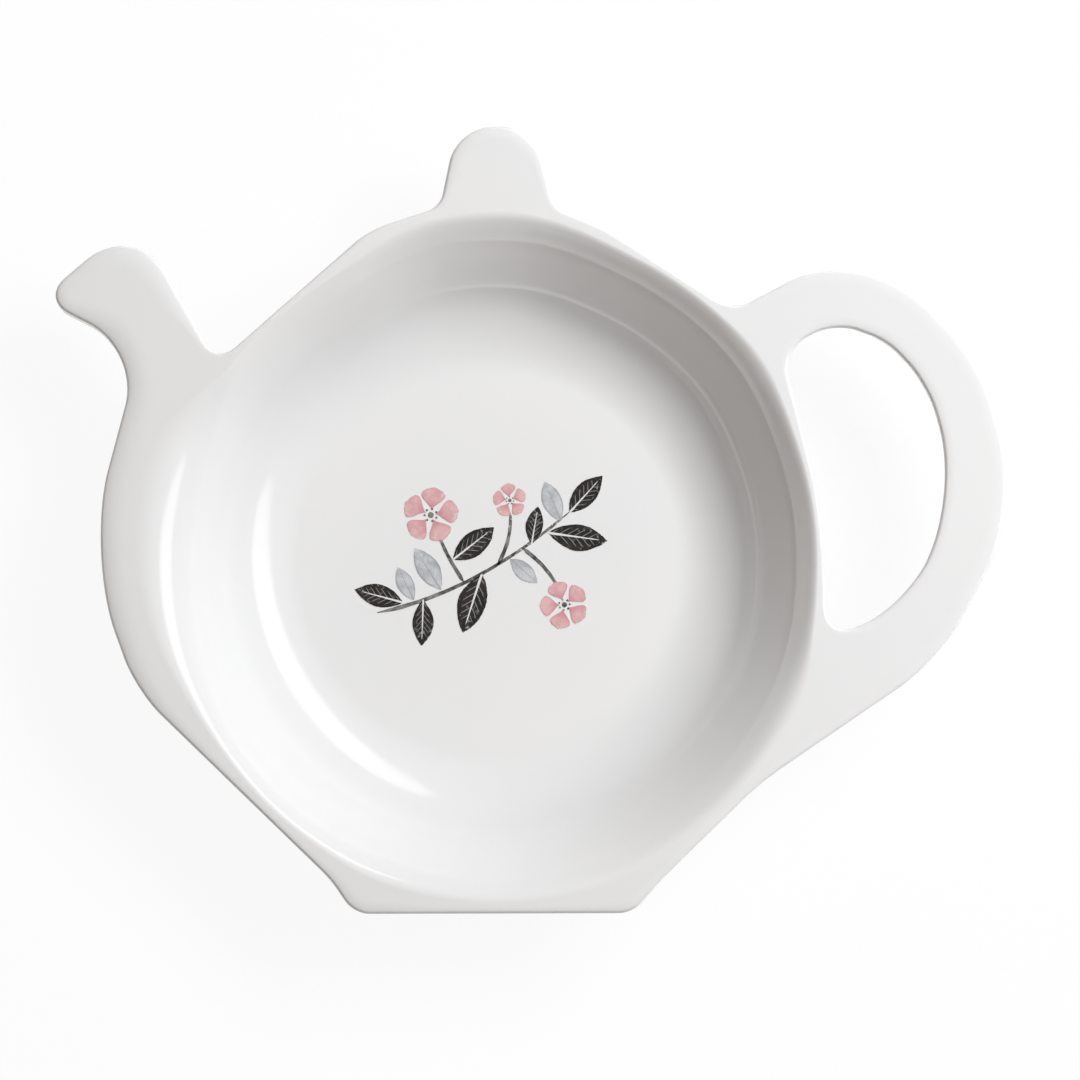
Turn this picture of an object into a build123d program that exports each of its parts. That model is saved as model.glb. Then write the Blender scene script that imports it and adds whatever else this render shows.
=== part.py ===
import os
from math import atan2, cos, degrees, radians, sin, tan

from build123d import *

# Tea bag rest with a teapot outline, lying flat. Lengths in mm, angles in degrees.
# The well's axis is the origin, the table is z = 0, +X runs to the handle and +Y to the lid knob.

# Heights and thicknesses
height = 17.0
lip_thickness = 5.0
floor_thickness = 3.2
wall_thickness = 3.2
foot_height = 1.6

# Well, measured where its wall meets the top of the lip and the floor
well_radius = 40.4
wall_slope = 51.2
cove_round = 14.0
rim_round = 1.5

# Underside and the edges of the lip
edge_round = 1.1
base_round = 5.0
foot_radius = 29.0
foot_width = 4.0
foot_round = 0.5

# Lip, from the edge of the well out to each side of the belly
lip_base = 4.85
lip_flank_left = 3.3
lip_left_low = 8.05
lip_left_high = 9.65
lip_shoulder_left = 1.0
lip_crown = 3.7
lip_shoulder_right = 2.3
lip_flank_right = 3.45
lip_opening = 1.6
shoulder_round = 14.0
left_round = 40.0
left_low_round = 22.0

# Edge at the bottom of the outline that the drawn teapot stands on
plinth_width = 35.1
plinth_height = 4.3
plinth_offset = -0.05
plinth_round = 4.0
plinth_root_round = 15.0

# Lid knob
knob_width = 14.0
knob_height = 10.65
knob_offset = 0.65
knob_waist = 1.55
knob_seam = 0.4
knob_taper = 11.6
knob_round = 6.0
knob_root_round = 3.0

# Spout, from the edge of the well out to its end
spout_reach = 21.7
spout_back = 19.85
spout_underside = 2.95
spout_tip_round = 2.5
spout_crown_round = 6.7
spout_throat_round = 9.5
notch_round = 2.3
spout_seam_right = 0.55
spout_seam_up = 2.95
spout_seam_heading = 211.0

# Handle, from the edge of the well out to its right side and up to its peak,
# then each corner's distance back from that side and down from that peak
handle_reach = 26.8
handle_rise = 37.75
handle_peak_back = 24.1
handle_top_back = 13.6
handle_top_down = 3.9
handle_high_back = 4.9
handle_high_down = 13.2
handle_right_down = 31.5
handle_low_back = 10.4
handle_low_down = 51.0
handle_bar = 7.3
handle_slim_bar = 6.9
handle_root_bar = 9.0
handle_valley = 31.05
handle_fork = 16.4
handle_under_round = 30.0
handle_low_round = 27.0
handle_right_round = 25.0
handle_high_round = 18.0
handle_top_round = 15.0
handle_root_round = 5.0
handle_fork_round = 40.0
handle_seam = 4.6

# Opening inside the handle: its bow and its heel beside the belly
bow_height = 5.85
bow_depth = 0.3
heel_width = 5.3
heel_rise = 1.35
opening_drop = 10.15
opening_round = 2.4
opening_heel_round = 10.0
opening_top_round = 4.8
opening_bow_round = 60.0

# Transfer on the floor, its places counted in steps of the sprig's grid
ink_film = 0.08
sprig_grid = 1.0
leaf_length = 8.0
leaf_width = 3.6
vein_width = 0.3
stem_width = 0.55
petal_radius = 1.35
blossom_radius = 1.9
eye_radius = 0.75
pip_radius = 0.52


def side(normal, reach):
    # Straight side of an outline: the angle it faces and its distance from the well's axis.
    return normal, reach


def side_through(point, normal):
    # Straight side facing an angle and passing through a point.
    return normal, point.X * cos(radians(normal)) + point.Y * sin(radians(normal))


def side_between(start, stop, bar):
    # Straight side parallel to a run of a counterclockwise outline, a bar's width inside it.
    normal = degrees(atan2(start.X - stop.X, stop.Y - start.Y))
    return normal, side_through(start, normal)[1] - bar


def meet(a, b):
    # Point where two straight sides meet.
    spread = sin(radians(b[0] - a[0]))
    x = (a[1] * sin(radians(b[0])) - b[1] * sin(radians(a[0]))) / spread
    y = (b[1] * cos(radians(a[0])) - a[1] * cos(radians(b[0]))) / spread
    return Vector(x, y)


def at_height(a, y):
    # Point on a straight side at a distance above the well's axis.
    return Vector((a[1] - y * sin(radians(a[0]))) / cos(radians(a[0])), y)


def rounded_face(corners):
    # Face with straight sides between corners, each corner rounded as far as its sides allow.
    count = len(corners)
    points = [corner[0] for corner in corners]
    headings = [(points[i] - points[i - 1]).normalized() for i in range(count)]
    lengths = [(points[i] - points[i - 1]).length for i in range(count)]
    tangents = []
    for i in range(count):
        turn = headings[i].get_angle(headings[(i + 1) % count])
        tangents.append(corners[i][1] * tan(radians(turn / 2)))
    fits = [min(1.0, lengths[i] / (tangents[i - 1] + tangents[i])) for i in range(count)]
    tangents = [tangents[i] * min(fits[i], fits[(i + 1) % count]) for i in range(count)]
    edges = []
    for i in range(count):
        start = points[i - 1] + headings[i] * tangents[i - 1]
        stop = points[i] - headings[i] * tangents[i]
        turned = points[i] + headings[(i + 1) % count] * tangents[i]
        if (stop - start).length > 0.01:
            edges.append(Line(start, stop))
        else:
            stop = start
        edges.append(TangentArc(stop, turned, tangent=headings[i]))
    return make_face(edges)


def ring_profile(points):
    # Face in the XZ plane for turning about the well's axis.
    return make_face(Plane.XZ * Polyline(*points, close=True))


# Sides of the belly, lid knob and spout
base_y = -well_radius - lip_base
flank_right = side(-47.2, well_radius + lip_flank_right)
shoulder_right = side(57.0, well_radius + lip_shoulder_right)
crown_right = side(67.5, well_radius + lip_crown)
knob_root = Vector(knob_offset, well_radius + lip_crown + knob_waist)
knob_right = side_through(knob_root + Vector(knob_width / 2, 0), knob_taper)
knob_top = side(90, well_radius + lip_crown + knob_height)
knob_left = side_through(knob_root - Vector(knob_width / 2, 0), 180 - knob_taper)
crown_left = side(108.4, well_radius + lip_crown)
shoulder_left = side(131.5, well_radius + lip_shoulder_left)
spout_rear = side(27.5, -spout_back)
spout_end = side(131.0, well_radius + spout_reach)
spout_under = side(243.0, -spout_underside)
left_high = side(165.0, well_radius + lip_left_high)
left_low = side(200.0, well_radius + lip_left_low)
flank_left = side(226.5, well_radius + lip_flank_left)

# Corners of the handle, from the fork below it up to the valley at the lid
handle_x = well_radius + handle_reach
fork = at_height(flank_right, base_y + handle_fork)
handle_low = Vector(handle_x - handle_low_back, handle_rise - handle_low_down)
handle_right = Vector(handle_x, handle_rise - handle_right_down)
handle_high = Vector(handle_x - handle_high_back, handle_rise - handle_high_down)
handle_top = Vector(handle_x - handle_top_back, handle_rise - handle_top_down)
handle_peak = Vector(handle_x - handle_peak_back, handle_rise)
valley = at_height(shoulder_right, handle_valley)

# Outline of the whole dish, counterclockwise from its flat bottom edge
outline = rounded_face([
    (Vector(plinth_offset - plinth_width / 2, base_y), plinth_round),
    (Vector(plinth_offset + plinth_width / 2, base_y), plinth_round),
    (at_height(flank_right, base_y + plinth_height), plinth_root_round),
    (fork, handle_fork_round),
    (handle_low, handle_under_round),
    (handle_right, handle_low_round),
    (handle_high, handle_right_round),
    (handle_top, handle_high_round),
    (handle_peak, handle_top_round),
    (valley, handle_root_round),
    (meet(shoulder_right, crown_right), shoulder_round),
    (meet(crown_right, knob_right), knob_root_round),
    (meet(knob_right, knob_top), knob_round),
    (meet(knob_top, knob_left), knob_round),
    (meet(knob_left, crown_left), knob_root_round),
    (meet(crown_left, shoulder_left), shoulder_round),
    (meet(shoulder_left, spout_rear), notch_round),
    (meet(spout_rear, spout_end), spout_crown_round),
    (meet(spout_end, spout_under), spout_tip_round),
    (meet(spout_under, left_high), spout_throat_round),
    (meet(left_high, left_low), left_round),
    (meet(left_low, flank_left), left_low_round),
    (at_height(flank_left, base_y + plinth_height), plinth_root_round),
])

# Opening inside the handle, a bar's width in from the handle's sides and beside the belly's lip
inner_under = side_between(fork, handle_low, handle_root_bar)
inner_low = side_between(handle_low, handle_right, handle_bar)
inner_right = side_between(handle_right, handle_high, handle_bar)
inner_high = side_between(handle_high, handle_top, handle_slim_bar)
inner_top = side_between(handle_top, handle_peak, handle_bar)
inner_root = side_between(handle_peak, valley, handle_bar)
opening_edge = well_radius + lip_opening
bow = Vector(opening_edge - bow_depth, bow_height)
heel = Vector(opening_edge + heel_width, heel_rise - opening_drop)
opening = rounded_face([
    (heel, opening_heel_round),
    (meet(inner_under, inner_low), handle_under_round - handle_root_bar),
    (meet(inner_low, inner_right), handle_low_round),
    (meet(inner_right, inner_high), handle_right_round - handle_bar),
    (meet(inner_high, inner_top), handle_high_round - handle_bar),
    (meet(inner_top, inner_root), handle_top_round - handle_bar),
    (meet(inner_root, side_through(bow, 193.0)), opening_top_round),
    (bow, opening_bow_round),
    (Vector(opening_edge + bow_depth, -opening_drop), opening_round),
])

# Lip slab with softened edges
edge_fillet = min(edge_round, 0.57 * lip_shoulder_left, 0.45 * lip_thickness)
slab = extrude(Pos(0, 0, height - lip_thickness) * (outline - opening), lip_thickness)
slab = fillet(slab.edges().group_by(Axis.Z)[-1] + slab.edges().group_by(Axis.Z)[0], edge_fillet)

# Bowl under the lip and the well cut into it
grade = tan(radians(wall_slope))
floor_top = foot_height + floor_thickness
floor_radius = well_radius - (height - floor_top) / grade
wall_run = wall_thickness / sin(radians(wall_slope))


def bowl_radius(z):
    # Outside of the wall at a height.
    return well_radius - (height - z) / grade + wall_run


lip_under = height - lip_thickness
bowl = revolve(ring_profile([
    (0, foot_height), (bowl_radius(foot_height), foot_height),
    (bowl_radius(lip_under), lip_under), (bowl_radius(lip_under), lip_under + 1), (0, lip_under + 1),
]))
bowl = fillet(bowl.edges().group_by(Axis.Z)[0], base_round)
well = revolve(ring_profile([
    (0, floor_top), (floor_radius, floor_top), (well_radius + 2 / grade, height + 2), (0, height + 2),
]))
well = fillet(well.edges().group_by(Axis.Z)[0], cove_round)
china = slab + bowl - well
rim_limit = 0.95 * (lip_shoulder_left - edge_fillet) / tan(radians(wall_slope / 2))
rim = [e for e in china.edges().filter_by(GeomType.CIRCLE).group_by(Axis.Z)[-1]
       if abs(e.radius - well_radius) < 0.01]
china = fillet(rim, min(rim_round, rim_limit))

# Cutters at the luted joints
notch = meet(shoulder_left, spout_rear)
gap = notch + Vector(spout_seam_right, spout_seam_up)
far = 2 * well_radius
across = gap + Vector(cos(radians(spout_seam_heading)), sin(radians(spout_seam_heading))) * far
spout_zone = extrude(make_face(Polyline(gap, across, (across.X, far), (gap.X, far), close=True)), height)
knob_base = meet(crown_left, knob_left).Y + knob_seam
knob_zone = extrude(Pos(knob_offset, knob_base + far / 2) * Rectangle(2 * knob_width, far), height)
sector = Polyline((0, 0), (2 * far * cos(radians(-41)), 2 * far * sin(radians(-41))),
                  (2 * far * cos(radians(51)), 2 * far * sin(radians(51))), close=True)
handle_zone = extrude(make_face(sector) - Circle(well_radius + handle_seam), height)

spout = china & spout_zone
lid_knob = china & knob_zone
handle = china & handle_zone
dish = china - spout_zone - knob_zone - handle_zone

# Unglazed foot ring
foot_ring = revolve(ring_profile([
    (foot_radius - foot_width, 0), (foot_radius, 0),
    (foot_radius, foot_height), (foot_radius - foot_width, foot_height),
]))
foot_ring = fillet(foot_ring.edges().group_by(Axis.Z)[0], min(foot_round, 0.4 * foot_width))


def spot(x, y):
    # Place in the sprig.
    return x * sprig_grid, y * sprig_grid


def leaf(x, y, heading, size):
    # Leaf with a bare midrib, its stalk end at a point.
    length, half = leaf_length * size, leaf_width * size / 2
    blade = make_face([ThreePointArc((0, 0), (0.45 * length, half), (length, 0)),
                       ThreePointArc((length, 0), (0.45 * length, -half), (0, 0))])
    vein = Pos(0.4 * length, 0) * Rectangle(0.8 * length, vein_width)
    return Pos(*spot(x, y)) * Rot(0, 0, heading) * (blade - vein)


def blossom(x, y, size, turn):
    # Five round petals around an open middle.
    petals = [Rot(0, 0, turn + 72 * i) * Pos(blossom_radius * size, 0) * Circle(petal_radius * size)
              for i in range(5)]
    flower = Sketch() + petals + Circle(blossom_radius * size) - Circle(eye_radius * size)
    return Pos(*spot(x, y)) * flower


def stem(start, middle, stop):
    # Thin stalk bent through three places.
    return SlotArc(ThreePointArc(spot(*start), spot(*middle), spot(*stop)), stem_width)


def pip(x, y, size):
    # Dot in the middle of a blossom.
    return Pos(*spot(x, y)) * Circle(pip_radius * size)


def film(shapes):
    # Inks lie on the floor as a thin film.
    return extrude(Pos(0, 0, floor_top) * shapes, ink_film)


# Sprig printed on the floor in four inks
blossoms = Sketch() + [blossom(-7.6, 6.0, 1.15, 10), blossom(9.6, -5.6, 1.0, 40), blossom(2.6, 7.9, 0.7, 25)]
leaves = Sketch() + [
    leaf(-11.2, -5.3, 165, 0.8), leaf(-8.6, -4.9, 268, 0.75), leaf(-1.0, -1.6, 252, 1.0),
    leaf(5.4, 2.2, 80, 0.62), leaf(7.6, 3.7, -8, 0.95), leaf(10.3, 6.3, 48, 0.8), leaf(-4.8, 0.2, 38, 0.85),
]
pale_leaves = Sketch() + [
    leaf(-6.3, -3.7, 122, 0.8), leaf(-9.8, -5.0, 116, 0.6),
    leaf(2.6, 0.4, 318, 0.6), leaf(9.2, 5.2, 112, 0.7),
]
stems = Sketch() + [
    stem((-14.5, -6.6), (-2.0, -2.1), (10.4, 6.5)), stem((-3.4, -2.6), (-5.4, 0.8), (-7.0, 4.4)),
    stem((4.4, 1.4), (7.4, -1.2), (9.0, -4.0)), stem((1.0, -0.5), (2.4, 3.0), (2.6, 6.4)),
]
pale_leaves = pale_leaves - blossoms - leaves
stems = stems - blossoms - leaves - pale_leaves
stems += [pip(-7.6, 6.0, 1.15), pip(9.6, -5.6, 1.0), pip(2.6, 7.9, 0.7)]

os.makedirs("parts", exist_ok=True)
nodes = {
    "dish": dish,
    "spout": spout,
    "lid_knob": lid_knob,
    "handle": handle,
    "foot_ring": foot_ring,
    "print_leaves": film(leaves - blossoms),
    "print_pale_leaves": film(pale_leaves),
    "print_stems": film(stems),
    "print_blossoms": film(blossoms),
}
for name, shape in nodes.items():
    export_step(shape, f"parts/{name}.step")
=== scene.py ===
from math import atan2, ceil, cos, degrees, hypot, pi, radians, sin, tan

import bmesh
import bpy
from mathutils import Matrix, Vector, noise


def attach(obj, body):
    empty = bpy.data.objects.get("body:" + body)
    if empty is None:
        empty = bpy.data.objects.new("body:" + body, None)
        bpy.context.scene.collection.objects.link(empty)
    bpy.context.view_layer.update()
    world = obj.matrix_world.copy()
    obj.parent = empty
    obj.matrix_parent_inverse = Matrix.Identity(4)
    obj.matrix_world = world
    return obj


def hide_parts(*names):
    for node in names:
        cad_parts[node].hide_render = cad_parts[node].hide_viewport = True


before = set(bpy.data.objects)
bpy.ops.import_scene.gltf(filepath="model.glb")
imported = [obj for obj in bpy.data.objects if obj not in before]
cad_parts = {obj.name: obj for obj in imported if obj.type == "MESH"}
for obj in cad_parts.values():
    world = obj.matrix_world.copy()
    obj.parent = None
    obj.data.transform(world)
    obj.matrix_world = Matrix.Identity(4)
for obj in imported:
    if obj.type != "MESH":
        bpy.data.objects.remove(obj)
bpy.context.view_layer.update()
mm = 0.001
scene = bpy.context.scene
scene.view_settings.view_transform = "Standard"
print("frame loaded:", sorted(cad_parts))

# camera above the dish, leaning a few degrees towards the plinth and the spout
shot = {"stand": (-20.8, -44.1, 650.0), "aim": (6.05, 2.03, 15.0), "lens": 167.3, "sensor": 36.0, "nearest": 10.0}
camData = bpy.data.cameras.new("overheadCamera")
camData.lens = shot["lens"]
camData.sensor_fit = "HORIZONTAL"
camData.sensor_width = shot["sensor"]
camData.clip_start = shot["nearest"] * mm
cam = bpy.data.objects.new("overheadCamera", camData)
back = (Vector(shot["stand"]) - Vector(shot["aim"])).normalized()
right = (Vector((1, 0, 0)) - back * back.x).normalized()
turn = Matrix((right, back.cross(right), back)).transposed()
cam.matrix_world = Matrix.Translation(Vector(shot["stand"]) * mm) @ turn.to_4x4()
scene.collection.objects.link(cam)
scene.camera = cam
print("camera set")


# node helpers, shared by all the finishes
def nodeGroup(name, inputs, outputs):
    tree = bpy.data.node_groups.new(name, "ShaderNodeTree")
    for label, value in inputs.items():
        tree.interface.new_socket(label, in_out="INPUT", socket_type="NodeSocketFloat").default_value = value
    for label in outputs:
        tree.interface.new_socket(label, in_out="OUTPUT", socket_type="NodeSocketFloat")
    return tree, tree.nodes.new("NodeGroupInput").outputs, tree.nodes.new("NodeGroupOutput").inputs


def addNode(tree, kind, **settings):
    node = tree.nodes.new(kind)
    for key, value in settings.items():
        if key in node.inputs:
            node.inputs[key].default_value = value
        else:
            setattr(node, key, value)
    return node


def feed(tree, socket, value):
    # a number or a colour is set on the socket, and anything else is linked to it
    if isinstance(value, (int, float)):
        socket.default_value = value
    elif isinstance(value, tuple):
        socket.default_value = (*value, 1.0)
    else:
        tree.links.new(value, socket)


def addNoise(tree, place, scale, detail=2.0, rough=0.5):
    node = addNode(tree, "ShaderNodeTexNoise", Detail=detail, Roughness=rough)
    tree.links.new(place, node.inputs["Vector"])
    feed(tree, node.inputs["Scale"], scale)
    return node.outputs["Fac"]


def addMath(tree, operation, *values):
    node = addNode(tree, "ShaderNodeMath", operation=operation)
    for socket, value in zip(node.inputs, values):
        feed(tree, socket, value)
    return node.outputs[0]


def multiply(tree, a, b):
    return addMath(tree, "MULTIPLY", a, b)


def addRange(tree, value, low, high, toLow=0.0, toHigh=1.0):
    # smooth step from one range of numbers to another
    node = addNode(tree, "ShaderNodeMapRange", interpolation_type="SMOOTHSTEP")
    for socket, number in zip(node.inputs, (value, low, high, toLow, toHigh)):
        feed(tree, socket, number)
    return node.outputs[0]


def addMix(tree, share, a, b, blend="MIX"):
    node = addNode(tree, "ShaderNodeMix", data_type="RGBA", blend_type=blend)
    for socket, value in ((node.inputs[0], share), (node.inputs[6], a), (node.inputs[7], b)):
        feed(tree, socket, value)
    return node.outputs[2]


def addBump(tree, height, shader, distance):
    bump = addNode(tree, "ShaderNodeBump", Strength=1.0, Distance=distance)
    tree.links.new(height, bump.inputs["Height"])
    tree.links.new(bump.outputs["Normal"], shader.inputs["Normal"])


def objectPlace(tree):
    return addNode(tree, "ShaderNodeTexCoord").outputs["Object"]


def splitPlace(tree, place):
    split = addNode(tree, "ShaderNodeSeparateXYZ")
    tree.links.new(place, split.inputs[0])
    return split.outputs


def newFinish(name):
    mat = bpy.data.materials.new(name)
    mat.use_nodes = True
    return mat, mat.node_tree, mat.node_tree.nodes["Principled BSDF"]


# glaze skin: slow ripple, pinprick texture and pooled colour, used by the china and by the inks under it
skinLook = {
    "ripple": 95.0, "peel": 900.0, "peelShare": 0.06, "gloss": (0.08, 0.14), "glossBlots": 210.0,
    "clouds": 38.0, "cloudEdge": (0.3, 0.7),
    # radii in metres between which the glaze pools in the cove, and the least that it pools
    "poolIn": (0.022, 0.029), "poolOut": (0.036, 0.031), "poolLeast": 0.6,
}


def makeGlazeSkin():
    tree, gin, gout = nodeGroup(
        "glazeSkin",
        {"Ripple Size": skinLook["ripple"], "Peel Size": skinLook["peel"], "Peel Share": skinLook["peelShare"],
         "Gloss Low": skinLook["gloss"][0], "Gloss High": skinLook["gloss"][1]},
        ("Height", "Roughness", "Pool", "Cloud"))
    place = objectPlace(tree)
    ripple = addNoise(tree, place, gin["Ripple Size"], detail=1.0, rough=0.35)
    peel = addNoise(tree, place, gin["Peel Size"], detail=1.0, rough=0.4)
    tree.links.new(addMath(tree, "ADD", ripple, multiply(tree, peel, gin["Peel Share"])), gout["Height"])
    cloud = addRange(tree, addNoise(tree, place, skinLook["clouds"], detail=3.0), *skinLook["cloudEdge"])
    tree.links.new(cloud, gout["Cloud"])
    gloss = addNode(tree, "ShaderNodeMapRange")
    tree.links.new(addNoise(tree, place, skinLook["glossBlots"], detail=3.0), gloss.inputs[0])
    tree.links.new(gin["Gloss Low"], gloss.inputs[3])
    tree.links.new(gin["Gloss High"], gloss.inputs[4])
    tree.links.new(gloss.outputs[0], gout["Roughness"])
    x, y = splitPlace(tree, place)[:2]
    square = addMath(tree, "ADD", addMath(tree, "POWER", x, 2.0), addMath(tree, "POWER", y, 2.0))
    radius = addMath(tree, "SQRT", square)
    cove = multiply(tree, addRange(tree, radius, *skinLook["poolIn"]), addRange(tree, radius, *skinLook["poolOut"]))
    pooled = addRange(tree, cloud, 0.0, 1.0, skinLook["poolLeast"], 1.0)
    tree.links.new(multiply(tree, cove, pooled), gout["Pool"])
    return tree


glazeSkin = makeGlazeSkin()

# white glazed china
glazeLook = {"body": (0.815, 0.812, 0.805), "thin": (0.825, 0.819, 0.809), "pooled": (0.8, 0.798, 0.791),
             "ior": 1.53, "ripple": 0.00004}


def layGlaze(tree, shader):
    # one coat over everything, so the inks shine as the china does
    skin = addNode(tree, "ShaderNodeGroup", node_tree=glazeSkin).outputs
    tree.links.new(skin["Roughness"], shader.inputs["Roughness"])
    shader.inputs["IOR"].default_value = glazeLook["ior"]
    addBump(tree, skin["Height"], shader, glazeLook["ripple"])
    return skin


def makeGlaze():
    mat, tree, shader = newFinish("whiteGlaze")
    skin = layGlaze(tree, shader)
    body = addMix(tree, skin["Cloud"], glazeLook["body"], glazeLook["thin"])
    tree.links.new(addMix(tree, skin["Pool"], body, glazeLook["pooled"]), shader.inputs["Base Color"])
    return mat


# bare ground china of the foot ring
biscuitLook = {
    "clay": (0.74, 0.715, 0.67), "dust": (0.62, 0.59, 0.545), "speck": (0.4, 0.36, 0.31),
    "dustSize": 140.0, "dustEdge": (0.35, 0.7), "speckSize": 1500.0, "speckEdge": (0.7, 0.78),
    "grainSize": 2600.0, "grain": 0.00006, "rough": (0.2, 0.8, 0.7, 0.92),
}


def makeBiscuit():
    mat, tree, shader = newFinish("bareBiscuit")
    place = objectPlace(tree)
    grain = addNoise(tree, place, biscuitLook["grainSize"], detail=4.0, rough=0.65)
    dust = addRange(tree, addNoise(tree, place, biscuitLook["dustSize"], detail=4.0), *biscuitLook["dustEdge"])
    specks = addRange(tree, addNoise(tree, place, biscuitLook["speckSize"], detail=1.0), *biscuitLook["speckEdge"])
    dusty = addMix(tree, dust, biscuitLook["clay"], biscuitLook["dust"])
    tree.links.new(addMix(tree, specks, dusty, biscuitLook["speck"]), shader.inputs["Base Color"])
    tree.links.new(addRange(tree, grain, *biscuitLook["rough"]), shader.inputs["Roughness"])
    addBump(tree, grain, shader, biscuitLook["grain"])
    return mat


glaze = makeGlaze()
biscuit = makeBiscuit()
print("china finishes made")


# mesh helpers, shared by the pieces
def newMesh(name, bm):
    mesh = bpy.data.meshes.new(name)
    bm.to_mesh(mesh)
    bm.free()
    return mesh


def newPiece(name, bm, mat, node):
    mesh = newMesh(name, bm)
    mesh.materials.append(mat)
    piece = bpy.data.objects.new(name, mesh)
    scene.collection.objects.link(piece)
    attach(piece, "root")
    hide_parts(node)
    return piece


def roundCorners(bm, verts, reach, segments):
    bmesh.ops.bevel(bm, geom=verts, offset=reach * mm, offset_type="ABSOLUTE", affect="VERTICES",
                    segments=segments, profile=0.5, material=-1, clamp_overlap=False)


def divideEdge(bm, edge, length, step):
    cuts = round(length / (step * mm)) - 1
    if cuts > 0:
        bmesh.ops.subdivide_edges(bm, edges=[edge], cuts=cuts)


def spinRound(bm, steps):
    # turns an open profile about the axis of the well and closes its seam
    bmesh.ops.spin(bm, geom=bm.verts[:] + bm.edges[:], cent=(0, 0, 0), axis=(0, 0, 1), angle=2 * pi,
                   steps=steps, use_merge=True)
    bmesh.ops.remove_doubles(bm, verts=bm.verts[:], dist=1e-7)
    bmesh.ops.recalc_face_normals(bm, faces=bm.faces[:])


# china body: teapot outline with a soft edge, round well, bowl under it; lengths in mm
china = {
    "top": 17.0, "under": 12.0, "floor": 4.8, "base": 1.6,
    # well: wall, cove at its foot, and an oval rim that keeps some lip beside the outline; views are in degrees
    "wellRadius": 40.4, "wallSlope": 51.2, "wallStep": 0.2, "cove": 14.0, "coveSteps": 48,
    "rimWide": 40.7, "rimLong": 42.4, "rimMiddle": (0.4, 0.0), "lipLeast": 1.25, "lipView": 2.0, "rimEven": 7,
    # rounding of the rim: full towards the spout, firm on the far side, and a share of the lip at most
    "rimReach": 7.5, "rimSteps": 40, "ease": 1.2, "rimFirm": 0.56, "spoutBearing": 165.0,
    "softMiddle": 0.375, "softSwing": 1.25, "rimShare": 0.58, "rimView": 3.0,
    "seamShare": 0.85, "seamSteps": 20, "lipEven": 6,
    # bowl under the lip
    "bowlRadius": 40.49, "baseRadius": 32.12, "baseRound": 5.0, "baseSteps": 12, "rootReach": 0.35, "rootSteps": 4,
    # crown of the top edge: width, and fall as a share of it, with a tight rounding at its end
    "edgeReach": 2.0, "softReach": 3.2, "softFrom": -12.0, "softRun": 22.0, "openingReach": 1.4,
    "edgeFall": 0.15, "handleFall": 0.07, "firmFrom": 20.0, "firmRun": 16.0, "crownPower": 2.5,
    "edgeRound": 0.35, "roundShare": 0.45, "edgeDrop": 0.5, "edgeSteps": 6,
    "edgeShare": 0.37, "bendShare": 0.8, "edgeEven": 5,
    # side and rounded under edge
    "openingLean": 0.32, "leanShare": 0.5, "underReach": 1.5, "underShare": 0.42, "underSteps": 5,
    "lowLeast": 0.3, "lowShare": 0.8,
    # how far the last loop of a rounding runs on into the flat beside it
    "crownPast": 1.04, "underPast": 1.08, "lipPast": 1.03, "rootPast": 1.08,
    "step": 0.62, "turnSteps": 216,
    # leeway below the rounding of the rim and round the free edge of the well, and height that closes a profile
    "rimLeeway": 0.01, "lipLeeway": 2.0, "closing": 5.0,
    # faint rings left by turning: radius of the crest, height, length of its climb and of its fall
    "turnMarks": [(33.9, 0.37, 3.0, 1.2), (38.6, 0.2, 1.0, 1.0)], "turnBearing": 40.0,
    # x, y, rounding of each corner, counterclockwise from the right end of the flat bottom edge
    "outline": [
        (17.5, -45.25, 4), (21.3, -40.95, 15), (33.8, -28.85, 40), (56.8, -13.25, 30), (67.2, 6.25, 27),
        (62.3, 24.55, 25), (53.6, 33.85, 18), (43.1, 37.75, 15), (30.55, 31.05, 5), (14.0, 41.78, 14),
        (7.93, 44.3, 3), (5.78, 54.75, 6), (-4.48, 54.75, 6), (-6.61, 44.41, 3), (-15.66, 41.4, 14),
        (-35.01, 24.27, 2.3), (-44.9, 43.27, 6.7), (-57.29, 32.51, 2.5), (-44.62, 26.1, 9.5),
        (-51.4, 0.41, 40), (-45.05, -17.1, 22), (-20.5, -40.95, 15), (-17.6, -45.25, 4)],
    "opening": [
        (59.4, 7.15, 27), (55.5, 21.75, 17.7), (50.3, 27.35, 10.7), (43.7, 29.75, 7.7), (36.9, 26.15, 4.8),
        (41.7, 5.85, 60), (42.3, -10.15, 2.4), (47.3, -8.8, 10), (52.9, -4.95, 21)],
    # where the spout, the knob and the handle are luted on: places on the outline and on the opening
    "spoutSeam": ((-36.1, 26.35), (-46.46, 20.01)), "knobSeam": ((7.8, 44.75), (-6.55, 44.75)),
    "handleSeam": ((36.0, -27.15), (31.2, 31.45)), "openingSeam": ((37.8, 22.95), (43.6, -10.05)),
}
pieceNames = ("dish", "spout", "lid_knob", "handle")


def clamped(value):
    return max(0, min(1, value))


def bearingOf(p):
    return degrees(atan2(p.y, p.x)) % 360


def degreesApart(a, b):
    return abs((a - b + 180) % 360 - 180)


def bevelStart(turn):
    # how far from a corner its vertex bevel starts, in roundings, so that its middle lies on the corner's arc
    middle = 0.5858  # of the way from the corner to the bevel's chord, at a profile of 0.5
    return (1 / cos(turn / 2) - 1) / (middle * sin(turn / 2))


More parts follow.
